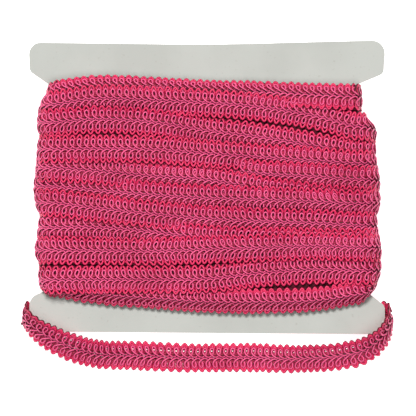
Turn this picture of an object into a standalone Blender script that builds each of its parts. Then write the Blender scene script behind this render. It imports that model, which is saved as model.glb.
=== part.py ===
"""Gimp braid wound on a flat card, with one loose turn of the braid below the wound part.

The card lies level, its face up. +X runs along the card to the right, +Y towards its
upper tab, +Z up. The origin is on the surface that the roll lies on, under the middle.
Tables and sizes are in millimetres, and the meshes are written in metres.
"""
import math
from collections import namedtuple

import bmesh
import bpy
import numpy as np

MM = 0.001

# The braid
BRAID_WIDTH = 13.1
BRAID_THICK = 1.5
HALF = BRAID_WIDTH / 2
ROW_CROWN = 0.35
LOOSE_BOW = 0.7

# The card
BOARD_THICK = 1.6
BOARD_ARC_STEP = math.radians(15)
SMOOTH_UP_TO = math.radians(40)
CLEAR = 0.3

# Heights, from the middle of the board
FIELD_TOP = 9.1
REST_LEVEL = 10.6
SLOT_HALF = BOARD_THICK / 2 + CLEAR

# From the middle of the board to the origin, below the middle of the whole outline
ORIGIN = (-0.97, 0.03, -REST_LEVEL)

# The slot that the card fills, and how far the turns reach along it at the two sides
WAIST_LEFT = -65.0
WAIST_RIGHT = 63.2
SLOT_LEFT = WAIST_LEFT - CLEAR
SLOT_RIGHT = WAIST_RIGHT + CLEAR
SQUARENESS = 0.82
SIDE_SINK = 0.3
LEAST_REACH = 1.0
REACH_PER_RISE = 0.4
REACH_PER_DROP = 0.6
LEAST_SPACING = 0.25

# How the first and the last row bend down over the ends of the roll
TOP_BEND = math.radians(71)
BOTTOM_BEND = math.radians(92)
END_UNDERCUT = 1.4
END_THICK = 0.4
END_RECESS = 3.0

# Counts
FRONT_STEPS = 22
BACK_STEPS = 12
SIDE_STEPS = 7
POINTS_PER_ROW = 4
LOOSE_STEPS = 66
LOOSE_POINTS = 5

Material = namedtuple("Material", "name colour roughness")
GREYBOARD = Material("greyboard", (0.58, 0.585, 0.56), 0.85)
RAYON = Material("rayon_gimp", (0.78, 0.03, 0.14), 0.5)

# Corners of the card, anticlockwise from its upper left: place and radius.
Corner = namedtuple("Corner", "x y radius")
CARD = (
    Corner(-77.3, 71.0, 5.0),
    Corner(-76.7, 58.6, 2.5),
    Corner(WAIST_LEFT, 50.6, 1.5),
    Corner(WAIST_LEFT, -33.4, 1.5),
    Corner(-77.0, -38.9, 5.0),
    Corner(-76.6, -53.4, 6.5),
    Corner(76.3, -54.6, 6.5),
    Corner(76.0, -42.2, 3.0),
    Corner(WAIST_RIGHT, -32.4, 1.5),
    Corner(WAIST_RIGHT, 52.5, 1.5),
    Corner(75.4, 57.6, 2.5),
    Corner(76.5, 72.0, 5.5),
    Corner(0.5, 70.0, 900.0),
)

# The middle line of each row on the front, at these places along X.
SPINE_AT = (-72, -48, -24, 0, 24, 48, 72)
# left and right: how far the row stands out past the slot at the sides.
# lies_on_next: whether it laps over the row below it, at the left and at the right,
# and where along X the two change places.
Row = namedtuple("Row", "spine left right lies_on_next_left lies_on_next_right change_at")
ROWS = (
    Row((48.8, 52.0, 51.8, 50.6, 49.8, 48.5, 47.5), 4.4, 2.4, False, True, 37),
    Row((43.2, 46.7, 46.0, 44.9, 42.9, 38.9, 32.0), 7.4, 9.4, False, True, -12),
    Row((35.9, 37.8, 36.6, 33.0, 30.0, 26.0, 21.5), 8.9, 8.3, False, False, 0),
    Row((24.9, 25.2, 24.9, 23.2, 21.5, 19.9, 18.1), 8.3, 8.7, True, False, 14),
    Row((19.1, 18.7, 17.8, 16.6, 14.4, 13.1, 11.2), 8.0, 10.2, False, False, 0),
    Row((17.4, 15.8, 13.5, 11.9, 7.6, 4.5, 2.2), 8.5, 9.8, True, False, -36),
    Row((9.5, 7.4, 5.4, 4.0, 3.3, 2.3, 1.1), 9.1, 10.6, False, False, 0),
    Row((2.8, -0.2, -2.8, -4.9, -6.0, -6.8, -8.4), 10.0, 9.3, True, False, -12),
    Row((-8.8, -8.5, -10.5, -13.4, -14.2, -14.8, -15.0), 7.8, 10.0, False, False, 0),
    Row((-18.3, -18.5, -18.8, -18.0, -17.3, -16.6, -17.7), 9.3, 11.1, True, True, 0),
    Row((-31.2, -31.0, -31.0, -30.6, -28.0, -26.7, -27.5), 7.8, 11.1, True, True, 0),
    Row((-33.8, -37.4, -39.2, -40.8, -40.8, -40.1, -36.3), 7.0, 8.7, True, True, 0),
)
CHANGE_OVER = 5.0
# The least that shows of a row, half the width of the step where one row lies on
# another, and the lap from which a row is raised by the whole thickness of the braid.
LEAST_SHOWN = 1.2
HALF_STEP = 0.12
FULL_RISE_LAP = 2.0

# Where the two ends of the roll stop at its sides, beside the notches of the card:
# at the slot, and out at the turn's own face.
Notch = namedtuple("Notch", "slot face")
TOP_LEFT = Notch(49.5, 51.4)
TOP_RIGHT = Notch(51.7, 52.6)
BOTTOM_LEFT = Notch(-32.5, -35.2)
BOTTOM_RIGHT = Notch(-31.5, -36.6)

# The loose turn, from its end behind the lower left of the card, round the left edge,
# along below the card and round the right edge to its end behind the lower right.
# in_: the edge nearer the card. out: the other edge. z: the height of its middle line.
Station = namedtuple("Station", "in_x in_y out_x out_y z")
LOOSE = (
    Station(-42.0, -40.0, -42.0, -53.1, -2.4),
    Station(-58.0, -40.0, -58.0, -53.1, -2.5),
    Station(-69.0, -40.1, -69.2, -53.2, -3.3),
    Station(-75.6, -40.0, -76.4, -52.0, -5.7),
    Station(-79.0, -40.7, -79.7, -50.6, -4.2),
    Station(-79.3, -41.4, -80.1, -50.4, -1.2),
    Station(-78.4, -43.4, -79.8, -51.2, 1.2),
    Station(-75.4, -45.8, -78.5, -53.4, 2.8),
    Station(-72.2, -47.8, -76.6, -55.8, 3.6),
    Station(-68.0, -49.9, -73.4, -58.9, 4.0),
    Station(-62.0, -52.3, -67.1, -63.1, 3.7),
    Station(-54.2, -55.1, -58.5, -67.0, 2.2),
    Station(-45.2, -57.0, -47.8, -69.5, -1.0),
    Station(-32.9, -57.2, -33.6, -70.3, -5.2),
    Station(-20.8, -57.8, -21.1, -70.9, -8.5),
    Station(-9.2, -58.3, -9.4, -71.4, -9.85),
    Station(9.4, -58.2, 9.4, -71.3, -9.85),
    Station(21.6, -58.3, 21.9, -71.3, -9.3),
    Station(33.5, -58.9, 34.4, -71.7, -6.8),
    Station(44.0, -59.0, 45.6, -71.1, -3.4),
    Station(54.6, -58.1, 57.1, -70.3, 0.0),
    Station(62.3, -56.8, 66.2, -68.4, 2.5),
    Station(69.0, -54.4, 73.9, -63.4, 3.8),
    Station(72.8, -52.0, 77.0, -59.8, 3.5),
    Station(75.2, -49.6, 78.6, -57.0, 2.7),
    Station(76.6, -47.0, 79.2, -54.0, 1.5),
    Station(77.7, -44.0, 79.4, -51.4, -0.1),
    Station(78.0, -41.4, 78.9, -50.6, -2.5),
    Station(77.3, -40.2, 77.9, -50.6, -4.9),
    Station(73.2, -40.2, 73.8, -52.6, -5.3),
    Station(66.5, -40.9, 66.6, -53.9, -3.6),
    Station(57.0, -41.2, 57.0, -54.3, -2.5),
    Station(42.0, -41.4, 42.0, -54.5, -2.4),
)


def smooth_through(at, places, values):
    """A smooth curve through values given at rising places, read at each of at."""
    places = np.asarray(places, float)
    values = np.asarray(values, float)
    slopes = np.gradient(values, places, axis=0)
    i = np.clip(np.searchsorted(places, at) - 1, 0, len(places) - 2)
    step = places[i + 1] - places[i]
    t = np.clip((at - places[i]) / step, 0, 1)
    if values.ndim > 1:
        t = t[:, None]
        step = step[:, None]
    start = (1 + 2 * t) * (1 - t) ** 2 * values[i] + t * (1 - t) ** 2 * step * slopes[i]
    end = t * t * (3 - 2 * t) * values[i + 1] - t * t * (1 - t) * step * slopes[i + 1]
    return start + end


def ease(x):
    """0 up to 0, 1 from 1 on, and smooth between."""
    x = min(max(x, 0.0), 1.0)
    return x * x * (3 - 2 * x)


def blend(a, b, share):
    return a + (b - a) * share


def material(kind):
    made = bpy.data.materials.new(kind.name)
    made.use_nodes = True
    shader = made.node_tree.nodes["Principled BSDF"]
    shader.inputs["Base Color"].default_value = (*kind.colour, 1)
    shader.inputs["Roughness"].default_value = kind.roughness
    shader.inputs["Metallic"].default_value = 0.0
    return made


def add_object(name, mesh, kind):
    """Put a finished bmesh, in millimetres about the board's middle, into the scene."""
    bmesh.ops.translate(mesh, verts=mesh.verts, vec=[-c for c in ORIGIN])
    bmesh.ops.scale(mesh, verts=mesh.verts, vec=(MM, MM, MM))
    bmesh.ops.triangulate(mesh, faces=mesh.faces)
    bmesh.ops.recalc_face_normals(mesh, faces=mesh.faces)
    data = bpy.data.meshes.new(name)
    mesh.to_mesh(data)
    mesh.free()
    data.materials.append(material(kind))
    data.shade_smooth()
    data.set_sharp_from_angle(angle=SMOOTH_UP_TO)
    made = bpy.data.objects.new(name, data)
    bpy.context.scene.collection.objects.link(made)
    return made


def rounded_outline(corners):
    """The points of an outline with each of its corners turned into an arc."""
    points = []
    for k, corner in enumerate(corners):
        here = np.array((corner.x, corner.y))
        before = np.array(corners[k - 1][:2]) - here
        after = np.array(corners[(k + 1) % len(corners)][:2]) - here
        before /= np.linalg.norm(before)
        after /= np.linalg.norm(after)
        half_angle = math.acos(np.clip(before @ after, -1, 1)) / 2
        turn = math.pi - 2 * half_angle
        middle = before + after
        centre = here + middle / np.linalg.norm(middle) * corner.radius / math.sin(half_angle)
        steps = max(3, math.ceil(turn / BOARD_ARC_STEP))
        start = here + before * corner.radius / math.tan(half_angle) - centre
        side = math.copysign(1, before[0] * after[1] - before[1] * after[0])
        for n in range(steps + 1):
            a = -side * turn * n / steps
            turned = (
                start[0] * math.cos(a) - start[1] * math.sin(a),
                start[0] * math.sin(a) + start[1] * math.cos(a),
            )
            points.append((centre[0] + turned[0], centre[1] + turned[1]))
    return points


def make_card():
    """The board: one flat outline with a notch at each side, cut from sheet."""
    mesh = bmesh.new()
    low = [mesh.verts.new((x, y, -BOARD_THICK / 2)) for x, y in rounded_outline(CARD)]
    face = mesh.faces.new(low)
    pushed = bmesh.ops.extrude_face_region(mesh, geom=[face])
    top = [v for v in pushed["geom"] if isinstance(v, bmesh.types.BMVert)]
    bmesh.ops.translate(mesh, verts=top, vec=(0, 0, BOARD_THICK))
    return add_object("card", mesh, GREYBOARD)


def spine_y(row, x):
    at = min(max(x, SPINE_AT[0]), SPINE_AT[-1])
    return float(smooth_through(np.array([at]), SPINE_AT, row.spine)[0])


def lies_on_next(row, x):
    """1 where the row laps over the next one down, 0 where the next laps over it."""
    share = ease((x - row.change_at) / CHANGE_OVER + 0.5)
    return blend(float(row.lies_on_next_left), float(row.lies_on_next_right), share)


def bend_over(offset, bend):
    """How far the outer half of an end row gets along Y, and how far it drops."""
    radius = HALF / bend
    angle = bend * min(abs(offset) / HALF, 1)
    return radius * math.sin(angle), radius * (1 - math.cos(angle))


def rows_across(y, over):
    """The rows' surface down the roll: (y, rise, drop) for each point, top end first.

    y holds the rows' middle lines and over whether each lies on the next. Rise is the
    height over a row that lies flat, and drop what the end rows fall by.
    """
    last = len(ROWS) - 1
    laps = [max(0.0, BRAID_WIDTH - (y[k] - y[k + 1])) for k in range(last)]
    rises = [BRAID_THICK * min(lap / FULL_RISE_LAP, 1) * (1 + lap / BRAID_WIDTH) for lap in laps]
    cuts = [blend(y[k + 1] + HALF, y[k] - HALF, over[k]) for k in range(last)]
    cuts = [
        cut if laps[k] else (y[k] + y[k + 1]) / 2 for k, cut in enumerate(cuts)
    ]
    for k in range(1, last):
        cuts[k] = min(cuts[k], cuts[k - 1] - LEAST_SHOWN)
    points = []
    for k in range(len(ROWS)):
        upper_rise = rises[k - 1] * (1 - over[k - 1]) if k else 0.0
        lower_rise = rises[k] * over[k] if k < last else 0.0
        first = cuts[k - 1] - HALF_STEP if k else y[0] + HALF
        end = cuts[k] + HALF_STEP if k < last else y[last] - HALF
        count = POINTS_PER_ROW + (k in (0, last))
        for n in range(count):
            at = blend(first, end, n / (count - 1))
            across = (y[k] - at) / HALF
            rise = blend(upper_rise, lower_rise, (across + 1) / 2)
            rise += ROW_CROWN * (1 - min(across * across, 1))
            drop = 0.0
            if k == 0 and across < 0:
                reach, drop = bend_over(at - y[0], TOP_BEND)
                at = y[0] + reach
            if k == last and across > 0:
                reach, drop = bend_over(at - y[last], BOTTOM_BEND)
                at = y[last] - reach
            points.append((at, rise, drop, k))
    return points


def close_ends(points, place, slot_top, slot_bottom):
    """Points in space: the rows, then under the end row, the slot, and up again."""
    outer = [place(at, rise, drop, k) for at, rise, drop, k in points]
    top_at, _, top_drop, top_row = points[0]
    low_at, _, low_drop, low_row = points[-1]
    under_low = place(low_at + END_UNDERCUT, -END_THICK, low_drop, low_row)
    under_top = place(top_at - END_UNDERCUT, -END_THICK, top_drop, top_row)
    return outer + [under_low, slot_bottom, slot_top, under_top]


def front_section(x):
    y = [spine_y(row, x) for row in ROWS]
    points = rows_across(y, [lies_on_next(row, x) for row in ROWS])

    def place(at, rise, drop, k):
        return (x, at, FIELD_TOP + rise - drop)

    top = (x, points[0][0] - END_RECESS, SLOT_HALF)
    bottom = (x, points[-1][0] + END_RECESS, SLOT_HALF)
    return close_ends(points, place, top, bottom)


def back_section(x):
    share = (SLOT_RIGHT - x) / (SLOT_RIGHT - SLOT_LEFT)
    y = [blend(row.spine[-1], row.spine[0], share) for row in ROWS]
    over = [
        blend(float(row.lies_on_next_right), float(row.lies_on_next_left), ease(share))
        for row in ROWS
    ]
    points = rows_across(y, over)

    def place(at, rise, drop, k):
        return (x, at, -min(FIELD_TOP + rise - drop, REST_LEVEL))

    top = (x, points[0][0] - END_RECESS, -SLOT_HALF)
    bottom = (x, points[-1][0] + END_RECESS, -SLOT_HALF)
    return close_ends(points, place, top, bottom)


def side_section(angle, side):
    """A section at one side of the roll: angle from the front (90) to the back (-90)."""
    right = side > 0
    slot = SLOT_RIGHT if right else SLOT_LEFT
    top = TOP_RIGHT if right else TOP_LEFT
    bottom = BOTTOM_RIGHT if right else BOTTOM_LEFT
    out = math.cos(angle) ** SQUARENESS
    up = math.copysign(abs(math.sin(angle)) ** SQUARENESS, angle)
    reaches = [row.right if right else row.left for row in ROWS]
    if angle > 0:
        y = [spine_y(row, slot + side * out * r) for row, r in zip(ROWS, reaches)]
    else:
        y = [row.spine[-1 if right else 0] for row in ROWS]
    over = [float(row.lies_on_next_right if right else row.lies_on_next_left) for row in ROWS]
    points = rows_across(y, over)
    high = blend(points[0][0], min(points[0][0], top.face), out)
    low = blend(points[-1][0], max(points[-1][0], bottom.face), out)
    limited = []
    for n, (at, rise, drop, k) in enumerate(points):
        most = high - LEAST_SPACING * n
        least = low + LEAST_SPACING * (len(points) - 1 - n)
        limited.append((min(max(at, least), most), rise, drop, k))

    def place(at, rise, drop, k):
        bulge = REACH_PER_RISE * rise - REACH_PER_DROP * drop - SIDE_SINK
        reach = max(reaches[k] + bulge, LEAST_REACH) * out
        lift = (FIELD_TOP + rise - drop) * up
        return (slot + side * reach, at, max(lift, -REST_LEVEL))

    level = SLOT_HALF * math.sin(angle)
    return close_ends(limited, place, (slot, top.slot, level), (slot, bottom.slot, level))


def make_wound_braid():
    """The turns on the card: one ring about its waist, with a ridge for each row."""
    sections = [front_section(x) for x in np.linspace(SLOT_LEFT, SLOT_RIGHT, FRONT_STEPS + 1)]
    angles = [math.pi * (0.5 - n / (SIDE_STEPS + 1)) for n in range(1, SIDE_STEPS + 1)]
    sections += [side_section(a, 1) for a in angles]
    sections += [back_section(x) for x in np.linspace(SLOT_RIGHT, SLOT_LEFT, BACK_STEPS + 1)]
    sections += [side_section(a, -1) for a in reversed(angles)]
    mesh = bmesh.new()
    rings = [[mesh.verts.new(p) for p in section] for section in sections]
    count = len(rings[0])
    for k, ring in enumerate(rings):
        after = rings[(k + 1) % len(rings)]
        for n in range(count):
            m = (n + 1) % count
            mesh.faces.new((ring[n], after[n], after[m], ring[m]))
    return add_object("wound_braid", mesh, RAYON)


def loose_frames():
    """Middle, along, across and face directions at even steps along the loose turn."""
    table = np.array(LOOSE)
    middle = np.column_stack(((table[:, 0:2] + table[:, 2:4]) / 2, table[:, 4]))
    plan = table[:, 0:2] - table[:, 2:4]
    width = np.linalg.norm(plan, axis=1)
    rise = np.sqrt(np.maximum(BRAID_WIDTH**2 - width**2, 0))
    across = np.column_stack((plan, rise))
    run = np.concatenate([[0], np.cumsum(np.linalg.norm(np.diff(middle, axis=0), axis=1))])
    at = np.linspace(0, run[-1], LOOSE_STEPS + 1)
    middle = smooth_through(at, run, middle)
    across = smooth_through(at, run, across)
    along = np.gradient(middle, axis=0)
    along /= np.linalg.norm(along, axis=1)[:, None]
    across -= (across * along).sum(axis=1)[:, None] * along
    across /= np.linalg.norm(across, axis=1)[:, None]
    return middle, across, np.cross(along, across)


def make_loose_turn():
    """The turn that has come off the roll: a strip, bowed a little across its face."""
    mesh = bmesh.new()
    rings = []
    spread = np.linspace(-1, 1, LOOSE_POINTS)
    for middle, across, face in zip(*loose_frames()):
        bow = [LOOSE_BOW * (1 / 3 - s * s) for s in spread]
        line = [middle + across * HALF * s + face * b for s, b in zip(spread, bow)]
        upper = [p + face * BRAID_THICK / 2 for p in line]
        lower = [p - face * BRAID_THICK / 2 for p in reversed(line)]
        for p in upper + lower:
            p[2] = max(p[2], -REST_LEVEL)
        rings.append([mesh.verts.new(p) for p in upper + lower])
    count = len(rings[0])
    for ring, after in zip(rings, rings[1:]):
        for n in range(count):
            m = (n + 1) % count
            mesh.faces.new((ring[n], ring[m], after[m], after[n]))
    for ring in (rings[0], rings[-1]):
        for n in range(LOOSE_POINTS - 1):
            mesh.faces.new((ring[n], ring[n + 1], ring[count - 2 - n], ring[count - 1 - n]))
    return add_object("loose_turn", mesh, RAYON)


for thing in list(bpy.data.objects):
    bpy.data.objects.remove(thing, do_unlink=True)
make_card()
make_wound_braid()
make_loose_turn()
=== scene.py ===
import math
from collections import namedtuple

import bpy
import numpy as np
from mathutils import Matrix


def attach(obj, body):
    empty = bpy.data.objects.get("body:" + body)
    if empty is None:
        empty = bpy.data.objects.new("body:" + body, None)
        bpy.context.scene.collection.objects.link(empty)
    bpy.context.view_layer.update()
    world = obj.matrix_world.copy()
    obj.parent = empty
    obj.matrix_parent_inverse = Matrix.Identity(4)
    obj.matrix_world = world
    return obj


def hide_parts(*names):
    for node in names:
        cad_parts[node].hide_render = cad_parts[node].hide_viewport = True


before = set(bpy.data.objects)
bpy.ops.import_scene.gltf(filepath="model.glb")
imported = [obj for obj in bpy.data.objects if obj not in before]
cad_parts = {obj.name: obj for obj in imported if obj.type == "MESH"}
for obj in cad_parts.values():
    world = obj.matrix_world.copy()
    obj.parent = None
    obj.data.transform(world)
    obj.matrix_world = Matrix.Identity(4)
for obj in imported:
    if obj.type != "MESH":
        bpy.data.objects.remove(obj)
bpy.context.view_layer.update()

# The card.
# A blank cut from uncoated greyboard, 1.6 mm thick, with a notch at each side that
# holds the turns. Pressed waste paper, so it is matt, cloudy and a little flecked.
MM = 0.001
BOARD_FACE = "#BFC1BB"
BOARD_CLOUD = "#B9BBB5"
BOARD_FLECK = "#A9A79F"
BOARD_PAINTED_EDGE_SHADE = "#B4B1A6"
CLOUD_WIDTH = 26 * MM
FIBRE_WIDTH = 0.6 * MM
FLECK_WIDTH = 1.3 * MM


def linear(code):
    """The linear colour, with alpha, of an sRGB hex value."""
    parts = [int(code[k:k + 2], 16) / 255 for k in (1, 3, 5)]
    return (*[p / 12.92 if p <= 0.04045 else ((p + 0.055) / 1.055) ** 2.4 for p in parts], 1)


def add(tree, kind, inputs=None, **settings):
    """Add a node with its settings, and give its inputs values or links."""
    made = tree.nodes.new(kind)
    for name, value in settings.items():
        setattr(made, name, value)
    for key, value in (inputs or {}).items():
        if isinstance(value, bpy.types.NodeSocket):
            tree.links.new(value, made.inputs[key])
        else:
            made.inputs[key].default_value = value
    return made


def new_material(name):
    """An empty material and its node tree."""
    made = bpy.data.materials.new(name)
    made.use_nodes = True
    made.node_tree.nodes.clear()
    return made, made.node_tree


def greyboard():
    """Greyboard: pulp pressed flat and dried, so dull, with soft clouds and fibres; painted shade
    on its edges.
    """
    made, tree = new_material("greyboard")
    place = add(tree, "ShaderNodeTexCoord").outputs["Object"]
    cloud = add(
        tree, "ShaderNodeTexNoise", {"Vector": place, "Scale": 1 / CLOUD_WIDTH, "Detail": 3.0}
    )
    cloudy = add(
        tree, "ShaderNodeMapRange",
        {"Value": cloud.outputs["Fac"], "From Min": 0.4, "From Max": 0.62},
    )
    face = add(tree, "ShaderNodeMix", {"Factor": cloudy.outputs["Result"]}, data_type="RGBA")
    face.inputs[6].default_value = linear(BOARD_FACE)
    face.inputs[7].default_value = linear(BOARD_CLOUD)
    fleck = add(
        tree, "ShaderNodeTexNoise", {"Vector": place, "Scale": 1 / FLECK_WIDTH, "Detail": 1.0}
    )
    flecked = add(
        tree, "ShaderNodeMapRange",
        {"Value": fleck.outputs["Fac"], "From Min": 0.68, "From Max": 0.8, "To Max": 0.5},
    )
    marked = add(
        tree, "ShaderNodeMix",
        {"Factor": flecked.outputs["Result"], 6: face.outputs[2]}, data_type="RGBA",
    )
    marked.inputs[7].default_value = linear(BOARD_FLECK)
    # Painted shade: the card's sideways faces, its cut edges, are drawn a darker grey.
    normal = add(tree, "ShaderNodeNewGeometry").outputs["True Normal"]
    upright = add(tree, "ShaderNodeSeparateXYZ", {"Vector": normal}).outputs["Z"]
    level = add(tree, "ShaderNodeMath", {0: upright}, operation="ABSOLUTE")
    edge_shade = add(
        tree, "ShaderNodeMapRange", {"Value": level.outputs[0], "From Min": 0.8, "From Max": 0.4}
    )
    colour = add(
        tree, "ShaderNodeMix",
        {"Factor": edge_shade.outputs["Result"], 6: marked.outputs[2]}, data_type="RGBA",
    )
    colour.inputs[7].default_value = linear(BOARD_PAINTED_EDGE_SHADE)
    fibre = add(
        tree, "ShaderNodeTexNoise", {"Vector": place, "Scale": 1 / FIBRE_WIDTH, "Detail": 4.0}
    )
    bump = add(
        tree, "ShaderNodeBump",
        {"Height": fibre.outputs["Fac"], "Strength": 0.25, "Distance": 0.05 * MM},
    )
    shader = add(
        tree, "ShaderNodeBsdfPrincipled",
        {
            "Base Color": colour.outputs[2], "Normal": bump.outputs["Normal"],
            "Roughness": 0.85, "IOR": 1.45, "Specular IOR Level": 0.3,
        },
    )
    add(tree, "ShaderNodeOutputMaterial", {"Surface": shader.outputs[0]})
    return made


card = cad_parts["card"]
card.data.materials.clear()
card.data.materials.append(greyboard())

# The braid's stitch.
# Gimp is rayon floss wrapped round a cotton core. In each half one such cord runs low, in
# wide arches that make the scalloped edge, and one over it, in narrow loops that sweep
# down to the middle line. Beneath them lie smaller arches and a straight laid-in cord.
PITCH = 3.03 * MM
BRAID_WIDTH = 13.1
HALF = BRAID_WIDTH / 2
# One stitch, from one low point to the next, in millimetres: along the braid from the
# middle of the loop, out from the braid's middle line, and up from its middle layer.
Point = namedtuple("Point", "along out up")
LOOP = (
    Point(-0.90, 0.12, -0.08),
    Point(-0.10, 0.55, -0.34),
    Point(0.62, 1.50, -0.38),
    Point(0.84, 2.80, -0.10),
    Point(0.62, 3.80, 0.10),
    Point(-0.02, 4.22, 0.22),
    Point(-0.64, 3.84, 0.36),
    Point(-0.86, 2.95, 0.52),
    Point(-0.74, 2.15, 0.66),
    Point(-0.28, 1.50, 0.72),
    Point(0.46, 0.94, 0.68),
    Point(1.24, 0.42, 0.46),
)
ARCH = (
    Point(-1.51, 1.40, -0.62),
    Point(-0.30, 1.62, -0.70),
    Point(0.74, 2.40, -0.66),
    Point(1.00, 3.70, -0.48),
    Point(0.90, 4.84, -0.26),
    Point(0.46, 5.66, -0.10),
    Point(0.00, 5.98, -0.04),
    Point(-0.46, 5.66, -0.08),
    Point(-0.90, 4.84, -0.20),
    Point(-1.00, 3.70, -0.34),
    Point(-0.74, 2.40, -0.48),
    Point(0.30, 1.62, -0.56),
)
UNDER_ARCH = (
    Point(-1.10, 2.05, -0.72),
    Point(0.36, 2.15, -0.72),
    Point(0.42, 3.20, -0.62),
    Point(0.40, 4.30, -0.50),
    Point(0.00, 4.80, -0.42),
    Point(-0.40, 4.30, -0.46),
    Point(-0.42, 3.20, -0.54),
    Point(-0.36, 2.15, -0.62),
)
LAID_IN = (
    Point(0.0, 0.62, -0.75),
)
CLOSING_ABOVE = (
    Point(-0.30, 3.36, -0.50),
    Point(-0.34, 4.60, -0.34),
    Point(0.00, 5.36, -0.22),
    Point(0.34, 4.60, -0.30),
    Point(0.30, 3.36, -0.42),
)
CLOSING_BELOW = (
    Point(-0.30, 1.90, -0.60),
    Point(-0.34, 3.60, -0.50),
    Point(-0.34, 4.70, -0.34),
    Point(0.00, 5.36, -0.22),
    Point(0.34, 4.70, -0.30),
    Point(0.34, 3.60, -0.42),
    Point(0.30, 1.90, -0.55),
)
EDGE = (
    Point(-1.05, 2.80, 0.00),
    Point(-0.86, 4.70, 0.00),
    Point(0.00, 5.90, 0.00),
    Point(0.86, 4.70, 0.00),
    Point(1.05, 2.80, 0.00),
)
# side: 1 for the upper half of the braid, -1 for the lower; radius in millimetres, and
# sides of the cord's ring; shift: how far along the stitch sits, in stitches, so that the
# two halves alternate; part: which of the braid's cords it is. "Closing" is a cord that
# closes up each arch in the first, the last and the loose turn. "Upper edge" and "Lower
# edge" are all that shows of a turn that lies under others.
PARTS = ("Loops", "Arches", "Under", "Closing", "Upper edge", "Lower edge")
TOP_CORDS = ("Loops", "Arches")
ALL_CORDS = ("Loops", "Arches", "Under")
CLOSED_UP = ("Loops", "Arches", "Under", "Closing")
Strand = namedtuple("Strand", "stitch side radius sides shift part")
STRANDS = (
    Strand(LOOP, 1, 0.46, 6, 0.0, "Loops"),
    Strand(LOOP, -1, 0.46, 6, 0.45, "Loops"),
    Strand(ARCH, 1, 0.60, 5, 0.0, "Arches"),
    Strand(ARCH, -1, 0.60, 5, 0.45, "Arches"),
    Strand(UNDER_ARCH, 1, 0.56, 4, 0.5, "Under"),
    Strand(UNDER_ARCH, -1, 0.56, 4, 0.95, "Under"),
    Strand(LAID_IN, 1, 0.58, 4, 0.0, "Under"),
    Strand(LAID_IN, -1, 0.58, 4, 0.0, "Under"),
    Strand(CLOSING_ABOVE, 1, 0.55, 4, 0.0, "Closing"),
    Strand(CLOSING_BELOW, -1, 0.55, 4, 0.45, "Closing"),
    Strand(EDGE, 1, 0.62, 4, 0.0, "Upper edge"),
    Strand(EDGE, -1, 0.62, 4, 0.0, "Lower edge"),
)
# How far the stitch leans along the braid as it is pulled, and over what length, and how
# much one stitch differs from the next. A guide is left bare for one stitch at each end.
LEAN = 0.9
LEAN_RUN = 38 * MM
UNEVENNESS = 0.025
BARE_STITCHES = 2.0


def stitch_points(name, stitch):
    """A bare mesh that holds one stitch as loose points."""
    data = bpy.data.meshes.new(name)
    data.from_pydata([[c * MM for c in point] for point in stitch], [], [])
    return bpy.data.objects.new(name, data)


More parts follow.
